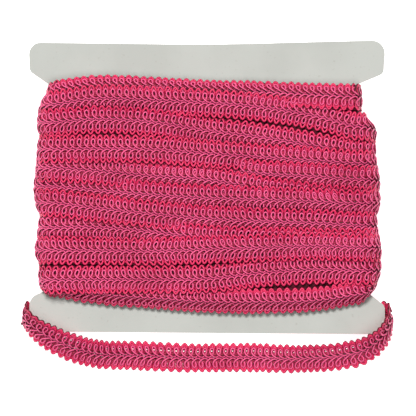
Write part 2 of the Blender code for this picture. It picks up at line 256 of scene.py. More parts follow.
def braid_tree(finish):
    """Geometry nodes that lay the cords of the braid along a guide line."""
    tree = bpy.data.node_groups.new("gimp braid", "GeometryNodeTree")
    tree.interface.new_socket("Guide", in_out="INPUT", socket_type="NodeSocketGeometry")
    settings = [
        ("Pitch", "Float", PITCH), ("Unevenness", "Float", UNEVENNESS), ("Lean", "Float", LEAN),
        ("Seed", "Int", 1), *[(part, "Bool", True) for part in PARTS],
    ]
    for name, kind, value in settings:
        made = tree.interface.new_socket(name, in_out="INPUT", socket_type=f"NodeSocket{kind}")
        made.default_value = value
    tree.interface.new_socket("Braid", in_out="OUTPUT", socket_type="NodeSocketGeometry")
    given = add(tree, "NodeGroupInput").outputs
    guide = add(tree, "GeometryNodeMeshToCurve", {"Mesh": given["Guide"]}).outputs["Curve"]
    length = add(tree, "GeometryNodeCurveLength", {"Curve": guide}).outputs["Length"]
    ratio = add(tree, "ShaderNodeMath", {0: length, 1: given["Pitch"]}, operation="DIVIDE")
    whole = add(
        tree, "ShaderNodeMath", {0: ratio.outputs[0], 1: BARE_STITCHES}, operation="SUBTRACT"
    )
    stitches = add(tree, "ShaderNodeMath", {0: whole.outputs[0]}, operation="FLOOR").outputs[0]
    index = add(tree, "GeometryNodeInputIndex").outputs[0]
    joined = add(tree, "GeometryNodeJoinGeometry")
    for number, strand in enumerate(STRANDS):
        count = len(strand.stitch)
        source = add(tree, "GeometryNodeObjectInfo")
        source.inputs["Object"].default_value = stitch_points(f"stitch_{number}", strand.stitch)
        points = add(tree, "ShaderNodeMath", {0: stitches, 1: float(count)}, operation="MULTIPLY")
        line = add(tree, "GeometryNodeMeshLine", {"Count": points.outputs[0]})
        turn = add(tree, "ShaderNodeMath", {0: index, 1: float(count)}, operation="DIVIDE")
        stitch = add(tree, "ShaderNodeMath", {0: turn.outputs[0]}, operation="FLOOR").outputs[0]
        point = add(
            tree, "ShaderNodeMath", {0: index, 1: float(count)}, operation="FLOORED_MODULO"
        )
        where = add(tree, "GeometryNodeInputPosition")
        shape = add(
            tree, "GeometryNodeSampleIndex",
            {"Geometry": source.outputs["Geometry"], "Value": where.outputs[0],
             "Index": point.outputs[0]},
            data_type="FLOAT_VECTOR",
        )
        local = add(tree, "ShaderNodeSeparateXYZ", {"Vector": shape.outputs["Value"]}).outputs
        chance = add(
            tree, "FunctionNodeRandomValue",
            {"Min": (-1, -1, -1), "Max": (1, 1, 1), "ID": stitch, "Seed": given["Seed"]},
            data_type="FLOAT_VECTOR",
        )
        uneven = add(
            tree, "ShaderNodeVectorMath", {0: chance.outputs[0], "Scale": given["Unevenness"]},
            operation="SCALE",
        )
        wander = add(tree, "ShaderNodeSeparateXYZ", {"Vector": uneven.outputs[0]}).outputs
        lean = add(tree, "ShaderNodeMath", {0: wander["X"], 1: local["Y"]}, operation="MULTIPLY")
        tall = add(
            tree, "ShaderNodeMath", {0: wander["Y"], 1: local["Y"], 2: local["Y"]},
            operation="MULTIPLY_ADD",
        )
        raised = add(
            tree, "ShaderNodeMath", {0: wander["Z"], 1: local["Y"], 2: local["Z"]},
            operation="MULTIPLY_ADD",
        )
        step = add(
            tree, "ShaderNodeMath", {0: stitch, 1: 1.0 + strand.shift}, operation="ADD"
        ).outputs[0]
        base = add(
            tree, "ShaderNodeMath", {0: step, 1: given["Pitch"], 2: local["X"]},
            operation="MULTIPLY_ADD",
        )
        uneven_along = add(
            tree, "ShaderNodeMath", {0: base.outputs[0], 1: lean.outputs[0]}, operation="ADD"
        )
        spot = add(
            tree, "ShaderNodeMath", {0: base.outputs[0], 1: 1 / LEAN_RUN, 2: given["Seed"]},
            operation="MULTIPLY_ADD",
        )
        pull = add(
            tree, "ShaderNodeTexNoise", {"W": spot.outputs[0], "Scale": 1.0, "Detail": 1.0},
            noise_dimensions="1D",
        )
        pulled = add(
            tree, "ShaderNodeMath", {0: pull.outputs["Fac"], 1: 0.5}, operation="SUBTRACT"
        )
        leaning = add(
            tree, "ShaderNodeMath", {0: pulled.outputs[0], 1: given["Lean"]}, operation="MULTIPLY"
        )
        along = add(
            tree, "ShaderNodeMath",
            {0: leaning.outputs[0], 1: local["Y"], 2: uneven_along.outputs[0]},
            operation="MULTIPLY_ADD",
        )
        side_name = "up" if strand.side > 0 else "down"
        outward = add(
            tree, "GeometryNodeInputNamedAttribute", {"Name": side_name}, data_type="FLOAT_VECTOR"
        )
        sample = add(
            tree, "GeometryNodeSampleCurve",
            {"Curves": guide, "Value": outward.outputs["Attribute"], "Length": along.outputs[0]},
            data_type="FLOAT_VECTOR", mode="LENGTH", use_all_curves=False,
        )
        across = sample.outputs["Value"]
        tangent = sample.outputs["Tangent"]
        pair = (tangent, across) if strand.side > 0 else (across, tangent)
        crossed = add(
            tree, "ShaderNodeVectorMath", {0: pair[0], 1: pair[1]}, operation="CROSS_PRODUCT"
        )
        normal = add(
            tree, "ShaderNodeVectorMath", {0: crossed.outputs[0]}, operation="NORMALIZE"
        ).outputs[0]
        out = add(
            tree, "ShaderNodeVectorMath", {0: across, "Scale": tall.outputs[0]}, operation="SCALE"
        )
        lift = add(
            tree, "ShaderNodeVectorMath", {0: normal, "Scale": raised.outputs[0]},
            operation="SCALE",
        )
        offset = add(
            tree, "ShaderNodeVectorMath", {0: out.outputs[0], 1: lift.outputs[0]}, operation="ADD"
        )
        place = add(
            tree, "ShaderNodeVectorMath", {0: sample.outputs["Position"], 1: offset.outputs[0]},
            operation="ADD",
        )
        # The braid's face and each point's level are kept for the painted shade on the cords'
        # flanks and deep cords.
        kept = add(
            tree, "GeometryNodeStoreNamedAttribute",
            {"Geometry": line.outputs["Mesh"], "Name": "face", "Value": normal},
            data_type="FLOAT_VECTOR", domain="POINT",
        )
        kept = add(
            tree, "GeometryNodeStoreNamedAttribute",
            {"Geometry": kept.outputs[0], "Name": "level", "Value": local["Z"]},
            data_type="FLOAT", domain="POINT",
        )
        laid = add(
            tree, "GeometryNodeSetPosition",
            {"Geometry": kept.outputs[0], "Position": place.outputs[0]},
        )
        bare = add(tree, "GeometryNodeMeshToCurve", {"Mesh": laid.outputs[0]})
        run = add(tree, "GeometryNodeSplineParameter").outputs["Length"]
        curve = add(
            tree, "GeometryNodeStoreNamedAttribute",
            {"Geometry": bare.outputs[0], "Name": "run", "Value": run},
            data_type="FLOAT", domain="POINT",
        )
        ring = add(
            tree, "GeometryNodeCurvePrimitiveCircle",
            {"Resolution": strand.sides, "Radius": strand.radius * MM},
        )
        cord = add(
            tree, "GeometryNodeCurveToMesh",
            {"Curve": curve.outputs[0], "Profile Curve": ring.outputs["Curve"], "Fill Caps": True},
        )
        marked = add(
            tree, "GeometryNodeStoreNamedAttribute",
            {"Geometry": cord.outputs[0], "Name": "cord", "Value": float(strand.part != "Loops")},
            data_type="FLOAT", domain="POINT",
        )
        wanted = add(
            tree, "GeometryNodeSwitch",
            {"Switch": given[strand.part], "True": marked.outputs[0]},
            input_type="GEOMETRY",
        )
        tree.links.new(wanted.outputs[0], joined.inputs[0])
    smooth = add(tree, "GeometryNodeSetShadeSmooth", {"Geometry": joined.outputs[0]})
    plain = add(tree, "GeometryNodeRealizeInstances", {"Geometry": smooth.outputs[0]})
    dressed = add(
        tree, "GeometryNodeSetMaterial", {"Geometry": plain.outputs[0], "Material": finish}
    )
    add(tree, "NodeGroupOutput", {"Braid": dressed.outputs[0]})
    return tree


# The loops are drawn lighter than the arches: partly painted light, as the loops lie on top, and
# partly the arches' own redder cord.
GIMP_LOOP = "#FF5E94"
GIMP_ARCH = "#F03066"
GIMP_DEEP = "#BE1848"
# GIMP_SHADE is painted shade, mixed in on the cords' flanks and on the deep cords.
GIMP_SHADE = "#4A0010"
DYE_WIDTH = 18 * MM
# The wraps of floss are drawn as bump only, and their width is a guess.
FLOSS_WIDTH = 0.24 * MM


def rayon_gimp():
    """Rayon floss wrapped on a core: satin, fine wraps across, with painted shade on the flanks
    and the deep cords.
    """
    made, tree = new_material("rayon_gimp")
    # Loops lighter than arches: partly painted light on the loops, partly the arches' redder cord.
    kind = add(tree, "ShaderNodeAttribute", attribute_name="cord").outputs["Fac"]
    colour = add(tree, "ShaderNodeMix", {"Factor": kind}, data_type="RGBA")
    colour.inputs[6].default_value = linear(GIMP_LOOP)
    colour.inputs[7].default_value = linear(GIMP_ARCH)
    place = add(tree, "ShaderNodeTexCoord").outputs["Object"]
    dye = add(tree, "ShaderNodeTexNoise", {"Vector": place, "Scale": 1 / DYE_WIDTH, "Detail": 3.0})
    patch = add(
        tree, "ShaderNodeMapRange",
        {"Value": dye.outputs["Fac"], "From Min": 0.35, "From Max": 0.75, "To Max": 0.35},
    )
    dyed = add(
        tree, "ShaderNodeMix", {"Factor": patch.outputs["Result"], 6: colour.outputs[2]},
        data_type="RGBA",
    )
    dyed.inputs[7].default_value = linear(GIMP_DEEP)
    run = add(tree, "ShaderNodeAttribute", attribute_name="run").outputs["Fac"]
    turns_of_floss = add(
        tree, "ShaderNodeMath", {0: run, 1: math.tau / FLOSS_WIDTH}, operation="MULTIPLY"
    )
    ridge = add(tree, "ShaderNodeMath", {0: turns_of_floss.outputs[0]}, operation="SINE")
    bump = add(
        tree, "ShaderNodeBump",
        {"Height": ridge.outputs[0], "Strength": 0.35, "Distance": 0.04 * MM},
    )
    face = add(tree, "ShaderNodeAttribute", attribute_name="face").outputs["Vector"]
    normal = add(tree, "ShaderNodeNewGeometry").outputs["Normal"]
    turned = add(tree, "ShaderNodeVectorMath", {0: normal, 1: face}, operation="DOT_PRODUCT")
    square_on = add(tree, "ShaderNodeMath", {0: turned.outputs["Value"]}, operation="ABSOLUTE")
    # Painted shade: where a cord turns away from the braid's face, its flanks are drawn darker.
    flank_shade = add(
        tree, "ShaderNodeMapRange",
        {
            "Value": square_on.outputs[0], "From Min": 0.3, "From Max": 0.95,
            "To Min": 1.0, "To Max": 0.0,
        },
    )
    # Painted shade: the cords that lie deep in the stitch are drawn darker on their outward side.
    level = add(tree, "ShaderNodeAttribute", attribute_name="level").outputs["Fac"]
    depth = add(
        tree, "ShaderNodeMapRange",
        {
            "Value": level, "From Min": -0.75 * MM, "From Max": -0.35 * MM,
            "To Min": 0.9, "To Max": 0.0,
        },
    )
    front = add(
        tree, "ShaderNodeMapRange", {"Value": turned.outputs["Value"], "From Max": 0.3}
    )
    buried_shade = add(
        tree, "ShaderNodeMath", {0: depth.outputs["Result"], 1: front.outputs["Result"]},
        operation="MULTIPLY",
    )
    shade = add(
        tree, "ShaderNodeMath", {0: flank_shade.outputs["Result"], 1: buried_shade.outputs[0]},
        operation="MAXIMUM",
    )
    deep = add(
        tree, "ShaderNodeMix", {"Factor": shade.outputs[0], 6: dyed.outputs[2]},
        data_type="RGBA",
    )
    deep.inputs[7].default_value = linear(GIMP_SHADE)
    shader = add(
        tree, "ShaderNodeBsdfPrincipled",
        {
            "Base Color": deep.outputs[2], "Normal": bump.outputs["Normal"],
            "Roughness": 0.36, "IOR": 1.5, "Specular IOR Level": 0.4,
        },
    )
    add(tree, "ShaderNodeOutputMaterial", {"Surface": shader.outputs[0]})
    return made


GIMP = rayon_gimp()
BRAID_TREE = braid_tree(GIMP)


def lay_braid(name, middle, up, down, seed, parts):
    """Lay a length of braid along a guide given in millimetres, as a plain mesh."""
    data = bpy.data.meshes.new(name + "_guide")
    count = len(middle)
    data.from_pydata((middle * MM).tolist(), [(k, k + 1) for k in range(count - 1)], [])
    for key, values in (("up", up), ("down", down)):
        layer = data.attributes.new(key, "FLOAT_VECTOR", "POINT")
        layer.data.foreach_set("vector", np.asarray(values, np.float32).ravel())
    guide = bpy.data.objects.new(name + "_guide", data)
    bpy.context.scene.collection.objects.link(guide)
    modifier = guide.modifiers.new("braid", "NODES")
    modifier.node_group = BRAID_TREE
    sockets = {item.name: item.identifier for item in BRAID_TREE.interface.items_tree}
    modifier[sockets["Seed"]] = seed
    for part in PARTS:
        modifier[sockets[part]] = part in parts
    evaluated = guide.evaluated_get(bpy.context.evaluated_depsgraph_get())
    mesh = bpy.data.meshes.new_from_object(evaluated)
    mesh.name = name
    made = bpy.data.objects.new(name, mesh)
    bpy.context.scene.collection.objects.link(made)
    bpy.data.objects.remove(guide, do_unlink=True)
    return made


# The turns on the card.
# One length of the braid goes round the card's waist, each turn lapping over the last
# or lying beside it. On the front every turn is known from its middle line; round the
# back they run from one turn's right end to the next one's left end.
# ORIGIN is the frame's origin, in millimetres from the card's middle. FIELD and REST are
# how far the lowest guides and the table lie from the card's middle plane, and LAYER is
# the height of one layer of braid. CORD_LIFT and SIDE_LIFT keep the guides that far off
# the table and inside the roll's outline.
ORIGIN = np.array((-0.97, 0.03, -10.6))
SLOT_LEFT = -65.3
SLOT_RIGHT = 63.5
LAYER = 1.35
FIELD = 8.35
REST = 10.6
SQUARENESS = 0.82
STEP = 2.5
SIDE_STEPS = 13
CORD_LIFT = 1.2
SIDE_LIFT = 0.7
NOTCH_GRIP = 4
# How near its edge a turn feels the one below, how much its middle is held up by its two
# edges, and over how many steps the heights are made smooth.
EDGE_SHARE = 0.97
STIFFNESS = 0.9
SMOOTHING = 1.8
SMOOTH_REACH = 4
# The middle of a turn keeps at least this share of its width from either edge.
LEAST_SHARE = 0.4
SPINE_AT = (-72, -48, -24, 0, 24, 48, 72)
# over_left and over_right: whether it laps over the next turn down, at the left and
# at the right, and where along X the two change places.
Turn = namedtuple("Turn", "name spine over_left over_right change_at")
TURNS = (
    Turn("a", (48.8, 52.0, 51.8, 50.6, 49.8, 48.5, 47.5), False, True, 37),
    Turn("b", (43.2, 46.7, 46.0, 44.9, 42.9, 38.9, 32.0), False, True, -12),
    Turn("c", (35.9, 37.8, 36.6, 33.0, 30.0, 26.0, 21.5), False, False, 0),
    Turn("d", (24.9, 25.2, 24.9, 23.2, 21.5, 19.9, 18.1), True, False, 14),
    Turn("f", (19.1, 18.7, 17.8, 16.6, 14.4, 13.1, 11.2), False, False, 0),
    Turn("e", (17.4, 15.8, 13.5, 11.9, 7.6, 4.5, 2.2), True, False, -36),
    Turn("g", (9.5, 7.4, 5.4, 4.0, 3.3, 2.3, 1.1), False, False, 0),
    Turn("h", (2.8, -0.2, -2.8, -4.9, -6.0, -6.8, -8.4), True, False, -12),
    Turn("i", (-8.8, -8.5, -10.5, -13.4, -14.2, -14.8, -15.0), False, False, 0),
    Turn("j", (-18.3, -18.5, -18.8, -18.0, -17.3, -16.6, -17.7), True, True, 0),
    Turn("k", (-31.2, -31.0, -31.0, -30.6, -28.0, -26.7, -27.5), True, True, 0),
    Turn("l", (-33.8, -37.4, -39.2, -40.8, -40.8, -40.1, -36.3), True, True, 0),
)
# How far the roll stands out past the slot at each side, at these places along Y.
Reach = namedtuple("Reach", "y out")
LEFT_SIDE = (
    Reach(-40.0, 5.6),
    Reach(-37.2, 6.6),
    Reach(-33.3, 7.6),
    Reach(-26.9, 7.4),
    Reach(-18.3, 9.4),
    Reach(-7.5, 7.6),
    Reach(-1.9, 7.2),
    Reach(4.5, 10.1),
    Reach(7.5, 10.0),
    Reach(17.4, 8.5),
    Reach(24.7, 8.3),
    Reach(30.3, 7.4),
    Reach(38.5, 8.7),
    Reach(45.4, 6.6),
    Reach(47.5, 4.4),
    Reach(54.8, 3.5),
)
RIGHT_SIDE = (
    Reach(-39.8, 6.1),
    Reach(-36.8, 7.8),
    Reach(-31.2, 10.4),
    Reach(-20.4, 11.3),
    Reach(-17.0, 10.9),
    Reach(-7.5, 9.1),
    Reach(-2.4, 8.7),
    Reach(3.2, 10.9),
    Reach(7.5, 9.6),
    Reach(11.8, 10.4),
    Reach(16.1, 9.6),
    Reach(24.7, 8.1),
    Reach(27.3, 8.7),
    Reach(32.9, 9.3),
    Reach(35.5, 7.8),
    Reach(38.9, 4.4),
    Reach(41.9, 2.6),
    Reach(53.5, 2.5),
)
# How far, in degrees, the outer halves of the first and the last turn fold down over the
# roll's ends, at the same places along X.
TOP_FOLD = (38, 37, 47, 48, 45, 38, 26)
BOTTOM_FOLD = (57, 48, 48, 45, 41, 47, 58)


def smooth_through(at, places, values):
    """A smooth curve through values given at rising places, read at each of at."""
    places = np.asarray(places, float)
    values = np.asarray(values, float)
    slopes = np.gradient(values, places, axis=0)
    k = np.clip(np.searchsorted(places, at) - 1, 0, len(places) - 2)
    step = places[k + 1] - places[k]
    t = np.clip((at - places[k]) / step, 0, 1)
    if values.ndim > 1:
        t = t[:, None]
        step = step[:, None]
    start = (1 + 2 * t) * (1 - t) ** 2 * values[k] + t * (1 - t) ** 2 * step * slopes[k]
    end = t * t * (3 - 2 * t) * values[k + 1] - t * t * (1 - t) * step * slopes[k + 1]
    return start + end


def laid_order(over):
    """The turns in the order they were laid, from whether each laps over the next."""
    level = np.concatenate([[0], np.cumsum(np.where(over[:-1], -1, 1))])
    return sorted(range(len(over)), key=lambda k: (level[k], -k))


def settle(middles, over):
    """How high each turn's upper edge, middle and lower edge lie where turns cross."""
    heights = np.zeros((len(middles), 3))
    placed = []
    for k in laid_order(over):
        need = np.zeros(3)
        for other in placed:
            for n, side in enumerate((1.0, 0.0, -1.0)):
                at = (middles[k] + side * HALF * EDGE_SHARE - middles[other]) / HALF
                if abs(at) < 1:
                    upper, mid, lower = heights[other]
                    under = mid + ((upper if at > 0 else lower) - mid) * abs(at)
                    need[n] = max(need[n], under + LAYER)
        need[1] = max(need[1], (need[0] + need[2]) / 2 * STIFFNESS)
        heights[k] = need
        placed.append(k)
    return heights


def settled_along(lines, overs):
    """The settled heights at every step along X, made smooth along the turns."""
    table = np.array([settle(line, over) for line, over in zip(lines.T, overs.T)])
    window = np.exp(-0.5 * (np.arange(-SMOOTH_REACH, SMOOTH_REACH + 1) / SMOOTHING) ** 2)
    window /= window.sum()
    padded = np.pad(table, ((SMOOTH_REACH, SMOOTH_REACH), (0, 0), (0, 0)), mode="edge")
    return sum(w * padded[k:k + len(table)] for k, w in enumerate(window))


FRONT_X = np.arange(SLOT_LEFT, SLOT_RIGHT + 0.1, STEP)
BACK_X = FRONT_X[::-1]
front_lines = np.array([smooth_through(FRONT_X, SPINE_AT, turn.spine) for turn in TURNS])
front_over = np.array(
    [np.where(FRONT_X < turn.change_at, turn.over_left, turn.over_right) for turn in TURNS]
)
front_heights = settled_along(front_lines, front_over)
back_share = (SLOT_RIGHT - BACK_X) / (SLOT_RIGHT - SLOT_LEFT)
back_lines = np.array([
    turn.spine[-1] + (after.spine[0] - turn.spine[-1]) * back_share
    for turn, after in zip(TURNS, TURNS[1:])
] + [front_lines[-1][::-1]])
# At the roll's two ends the back keeps close to the line of the front.
END_BULGE = 4.2
back_lines[0] += END_BULGE * np.sin(math.pi * back_share)
back_heights = settled_along(back_lines, np.zeros(back_lines.shape, bool))


def fold_at(x, degrees):
    """Half a folded turn's width and its drop, at each of x."""
    angle = np.radians(smooth_through(np.clip(x, SPINE_AT[0], SPINE_AT[-1]), SPINE_AT, degrees))
    return HALF * np.cos(angle), HALF * np.sin(angle)


def edge_shifts(number, x):
    """Where a turn's middle, upper and lower edge lie from its middle: shift and drop."""
    flat = np.full(len(x), HALF), np.zeros(len(x))
    top, top_drop = fold_at(x, TOP_FOLD) if number == 0 else flat
    low, low_drop = fold_at(x, BOTTOM_FOLD) if number == len(TURNS) - 1 else flat
    return (flat[1], flat[1]), (top, top_drop), (-low, low_drop)


# A turn's heights are kept as upper edge, middle, lower edge; its lines run as middle,
# upper edge, lower edge.
HEIGHT_OF = (1, 0, 2)


def flat_lines(x, y, heights, face, number):
    """The three lines of a turn on the front (1) or the back (-1) of the card."""
    lines = []
    for (shift, drop), column in zip(edge_shifts(number, x), HEIGHT_OF):
        z = face * (FIELD + heights[:, column] - drop)
        lines.append(np.column_stack((x, y + shift, np.maximum(z, -(REST - CORD_LIFT)))))
    return lines


# Between the two tabs at each side of the card: the highest and the lowest place that
# the edge of a turn can get to.
NOTCH_LEFT = (52.6, -34.9)
NOTCH_RIGHT = (52.9, -35.0)


def side_lines(side, number, y_front, y_back, front_heights, back_heights):
    """The three lines of a turn round one side of the card, from front to back."""
    angles = np.linspace(math.pi / 2, -math.pi / 2, SIDE_STEPS)[1:-1]
    out = np.cos(angles) ** SQUARENESS
    up = np.sign(angles) * np.abs(np.sin(angles)) ** SQUARENESS
    share = (1 - np.sin(angles)) / 2
    profile = np.array(RIGHT_SIDE if side > 0 else LEFT_SIDE)
    highest, lowest = NOTCH_RIGHT if side > 0 else NOTCH_LEFT
    lines = []
    slot = SLOT_RIGHT if side > 0 else SLOT_LEFT
    for (shift, drop), column in zip(edge_shifts(number, np.full(len(out), slot)), HEIGHT_OF):
        y = y_front + (y_back - y_front) * share + shift
        y = y + (np.clip(y, lowest, highest) - y) * out**NOTCH_GRIP
        reach = np.interp(y, profile[:, 0], profile[:, 1]) - SIDE_LIFT
        height = np.where(up > 0, front_heights[column], back_heights[column]) - drop
        z = np.maximum(up * (FIELD + height), -(REST - CORD_LIFT))
        x = slot + side * reach * out
        lines.append(np.column_stack((x, y, z)))
    middle, upper, lower = lines
    spread = upper[:, 1] - lower[:, 1]
    least = LEAST_SHARE * spread
    middle[:, 1] = np.clip(middle[:, 1], lower[:, 1] + least, upper[:, 1] - least)
    return lines


# How many steps a guide goes past the middle of the back, so that the stitches of two
# lengths meet there.
STEPS_BEFORE = 1
STEPS_AFTER = 3


def turn_guide(number):
    """The guide of one turn, in three lines: its middle and its two edges.

    It runs from the middle of the back round the left, along the front, round the
    right and to the middle of the back again, where the next turn's guide begins. The
    last turn's goes on along the whole back.
    """
    half = len(BACK_X) // 2
    y_front = front_lines[number]
    lead, lead_heights = back_lines[number - 1], back_heights[:, number - 1]
    if number == 0:
        lead, lead_heights = np.full(len(BACK_X), y_front[0]), back_heights[:, 0] - LAYER
    left = side_lines(
        -1, number, y_front[0], lead[-1], front_heights[0, number], lead_heights[-1]
    )
    right = side_lines(
        1, number, y_front[-1], back_lines[number][0],
        front_heights[-1, number], back_heights[0, number],
    )
    first = slice(half - STEPS_BEFORE, None)
    last = slice(0, half + STEPS_AFTER) if number < len(TURNS) - 1 else slice(0, None)
    parts = [
        flat_lines(BACK_X[first], lead[first], lead_heights[first], -1, number),
        [line[::-1] for line in left],
        flat_lines(FRONT_X, y_front, front_heights[:, number], 1, number),
        right,
        flat_lines(
            BACK_X[last], back_lines[number][last], back_heights[last, number], -1, number
        ),
    ]
    return [np.concatenate([part[k] for part in parts]) for k in range(3)]


def direction(middle, edge):
    """The way from a guide to one edge, square to it, 1 long where the braid is flat."""
    along = np.gradient(middle, axis=0)
    along /= np.linalg.norm(along, axis=1)[:, None]
    way = (edge - middle) / HALF
    return way - (way * along).sum(axis=1)[:, None] * along


# Under each turn: how deep the strip lies, its thickness, its share of the width, and how
# far it stays off the table.
GROUND_DEPTH = 0.85
GROUND_THICK = 0.3
GROUND_REACH = 0.88
GROUND_CLEAR = 0.05


def ground_strip(name, middle, up, down, finish):
    """The layer of cords that the stitch hides, as a thin closed strip under it."""
    along = np.gradient(middle, axis=0)
    normal = np.cross(along, up - down)
    normal /= np.linalg.norm(normal, axis=1)[:, None]
    reach = HALF * GROUND_REACH
    top = [middle + up * reach, middle, middle + down * reach]
    rows = [line - normal * GROUND_DEPTH for line in top]
    rows += [line - normal * (GROUND_DEPTH + GROUND_THICK) for line in reversed(top)]
    points = np.stack(rows, axis=1)
    points[:, :, 2] = np.maximum(points[:, :, 2], -REST + GROUND_CLEAR)
    count = points.shape[1]
    steps = len(middle)
    faces = []
    for k in range(steps - 1):
        for n in range(count):
            m = (n + 1) % count
            faces.append((k * count + n, k * count + m, (k + 1) * count + m, (k + 1) * count + n))
    faces.append(tuple(range(count - 1, -1, -1)))
    faces.append(tuple(range((steps - 1) * count, steps * count)))
    data = bpy.data.meshes.new(name)
    data.from_pydata(((points.reshape(-1, 3) - ORIGIN) * MM).tolist(), [], faces)
    data.materials.append(finish)
    made = bpy.data.objects.new(name, data)
    bpy.context.scene.collection.objects.link(made)
    return made


# Painted shade: the floss under the stitch and in the core is drawn dark red to near black, in
# random patches, for the shade it lies in.
FLOSS_DEEP_SHADE = "#28020C"
FLOSS_PALE_SHADE = "#6C0624"


def hidden_gimp():
    """The same floss where it lies deep between the cords, painted dark for the shade it lies in.
    """
    made, tree = new_material("hidden_gimp")
    place = add(tree, "ShaderNodeTexCoord").outputs["Object"]
    cords = add(tree, "ShaderNodeTexNoise", {"Vector": place, "Scale": 1 / PITCH, "Detail": 2.0})
    bump = add(
        tree, "ShaderNodeBump",
        {"Height": cords.outputs["Fac"], "Strength": 0.6, "Distance": 0.3 * MM},
    )
    shade = add(
        tree, "ShaderNodeMix", {"Factor": cords.outputs["Fac"]}, data_type="RGBA"
    )
    shade.inputs[6].default_value = linear(FLOSS_DEEP_SHADE)
    shade.inputs[7].default_value = linear(FLOSS_PALE_SHADE)
    shader = add(
        tree, "ShaderNodeBsdfPrincipled",
        {
            "Base Color": shade.outputs[2], "Normal": bump.outputs["Normal"],
            "Roughness": 0.7, "IOR": 1.5, "Specular IOR Level": 0.2,
        },
    )
    add(tree, "ShaderNodeOutputMaterial", {"Surface": shader.outputs[0]})
    return made


HIDDEN = hidden_gimp()
for number, turn in enumerate(TURNS):
    middle, upper, lower = turn_guide(number)
    ways = direction(middle, upper), direction(middle, lower)
    parts = CLOSED_UP if turn in (TURNS[0], TURNS[-1]) else ALL_CORDS
    piece = lay_braid(f"turn_{turn.name}", middle - ORIGIN, *ways, number + 1, parts)
    strip = ground_strip(f"ground_{turn.name}", middle, *ways, HIDDEN)
    for made in (piece, strip):
        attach(made, "root")

# The turn in the gap.
# Behind, the first turn and the next lie apart at the right, and a length of an earlier
# turn of the same braid shows between them, a layer down. The photo doesn't show the
# back, so it is a guess.
GAP_Y = 41.0
GAP_DEPTH = 0.9
GAP_STEPS = 9
gap_x = BACK_X[:len(BACK_X) // 2 + GAP_STEPS]
middle, upper, lower = flat_lines(
    gap_x, np.full(len(gap_x), GAP_Y), np.full((len(gap_x), 3), -GAP_DEPTH), -1, 1
)
made = lay_braid(
    "turn_in_the_gap", middle - ORIGIN, direction(middle, upper), direction(middle, lower), 50,
    TOP_CORDS,
)
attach(made, "root")

# The core of the roll.
# The earlier turns of the same braid, all hidden by the last layer: one solid ring
# round the waist of the card, a little inside the turns that show.
# CORE_DEPTH and CORE_INSET are how far it lies below the lowest guides and inside the
# edges of the first and the last turn; SLOT_HALF is how far its inner face is from the
# card's middle plane; TOP_SLOT and BOTTOM_SLOT are that face's ends, left and right.
CORE_DEPTH = 1.5
CORE_INSET = 2.4
CORE_POINTS = 24
SLOT_HALF = 1.1
SLOT_MARGIN = 2
EDGE_ROUNDING = 0.25
EDGE_SHARPNESS = 6
LEAST_REACH = 0.6
NOTCH_MARGIN = 1
TOP_SLOT = (49.3, 51.5)
BOTTOM_SLOT = (-32.3, -31.3)


def make_core():
    """Closed sections round the waist: out at the turns, in at the card's slot."""
    sides = np.linspace(math.pi / 2, -math.pi / 2, SIDE_STEPS)[1:-1]
    top = front_lines[0] + fold_at(FRONT_X, TOP_FOLD)[0] - CORE_INSET
    low = front_lines[-1] - fold_at(FRONT_X, BOTTOM_FOLD)[0] + CORE_INSET
    depth = FIELD - CORE_DEPTH
    rounded = 1 - EDGE_ROUNDING * np.abs(np.linspace(-1, 1, CORE_POINTS)) ** EDGE_SHARPNESS
    sections = []

    def flat_section(k, face):
        """One section across the front (1) or the back (-1)."""
        y = np.linspace(top[k], low[k], CORE_POINTS)
        outer = np.column_stack((np.full(CORE_POINTS, FRONT_X[k]), y, face * depth * rounded))
        inner = [
            (FRONT_X[k], low[k] + SLOT_MARGIN, face * SLOT_HALF),
            (FRONT_X[k], top[k] - SLOT_MARGIN, face * SLOT_HALF),
        ]
        sections.append(np.vstack((outer, inner)))

    def side_section(side, angle):
        """One section at the right (1) or the left (-1), at an angle from level."""
        right = side > 0
        highest, lowest = NOTCH_RIGHT if right else NOTCH_LEFT
        y = np.linspace(highest - NOTCH_MARGIN, lowest + NOTCH_MARGIN, CORE_POINTS)
        profile = np.array(RIGHT_SIDE if right else LEFT_SIDE)
        reach = np.interp(y, profile[:, 0], profile[:, 1]) - CORE_DEPTH
        slot = SLOT_RIGHT if right else SLOT_LEFT
        x = slot + side * np.maximum(reach, LEAST_REACH) * math.cos(angle) ** SQUARENESS
        z = math.copysign(abs(math.sin(angle)) ** SQUARENESS, angle) * depth * rounded
        level = SLOT_HALF * math.sin(angle)
        inner = [(slot, BOTTOM_SLOT[right], level), (slot, TOP_SLOT[right], level)]
        sections.append(np.vstack((np.column_stack((x, y, z)), inner)))

    for k in range(len(FRONT_X)):
        flat_section(k, 1)
    for angle in sides:
        side_section(1, angle)
    for k in range(len(FRONT_X) - 1, -1, -1):
        flat_section(k, -1)
    for angle in sides[::-1]:
        side_section(-1, angle)
    points = np.array(sections)
    count = points.shape[1]
    faces = []
    for k in range(len(sections)):
        after = (k + 1) % len(sections)
        for n in range(count):
            m = (n + 1) % count
            faces.append((k * count + n, after * count + n, after * count + m, k * count + m))
    data = bpy.data.meshes.new("core")
    data.from_pydata(((points.reshape(-1, 3) - ORIGIN) * MM).tolist(), [], faces)
    # Painted shade: the core takes the same dark floss colour as the strips under the stitch.
    data.materials.append(HIDDEN)
    made = bpy.data.objects.new("core", data)
    bpy.context.scene.collection.objects.link(made)
    return made


# The edges of the earlier turns.
# Of the turns that lie under the others only the scalloped arches show, stacked at the
# roll's two ends between the card and the last turn. The same gimp, held by the winding.
EDGE_LEVELS = (4.2, 2.9, 1.6)
EDGE_INSET = 0.6
OVERLAP_STEPS = 2


